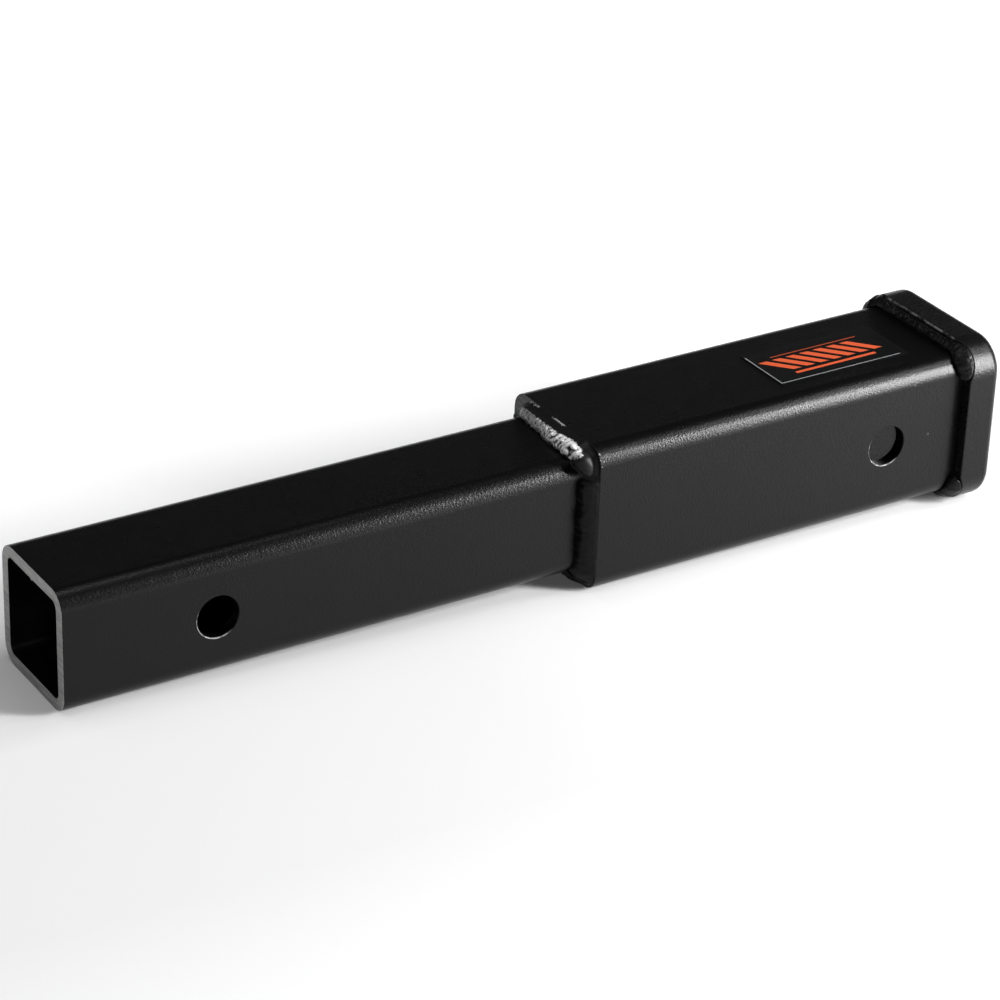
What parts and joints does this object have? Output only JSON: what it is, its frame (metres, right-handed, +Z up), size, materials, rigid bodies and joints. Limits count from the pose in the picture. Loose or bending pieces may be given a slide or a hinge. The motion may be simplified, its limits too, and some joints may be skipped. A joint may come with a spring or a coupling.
{
  "type": "hitch receiver extender",
  "caption": "Square steel shank tube welded into a larger square receiver tube with a bar collar round its mouth, cross-drilled at both ends for hitch pins.",
  "frame": {"origin": "middle of the pin hole through the shank, on the tube's centre line", "axes": "+X along the tubes from the shank to the socket's mouth, +Y to the far side along the pin holes, +Z up"},
  "size_m": [0.4213, 0.0734, 0.0734],
  "materials": {
    "tube_paint": "satin black powder coat with a fine grain",
    "collar_paint": "satin black powder coat over a bent flat bar",
    "bare_weld": "rippled bare weld metal with dark scale",
    "painted_weld": "black powder coat over rippled weld",
    "label_film": "printed vinyl film, black with a thin grey border and orange bars"
  },
  "bodies": {
    "root": {"shank_tube": "tube_paint", "receiver_tube": "tube_paint", "mouth_collar": "collar_paint", "step_weld_top": "bare_weld", "step_weld_near": "painted_weld", "step_weld_bottom": "painted_weld", "step_weld_far": "painted_weld", "collar_weld_top": "painted_weld", "collar_weld_bottom": "painted_weld", "label": "label_film"}
  },
  "joints": []
}
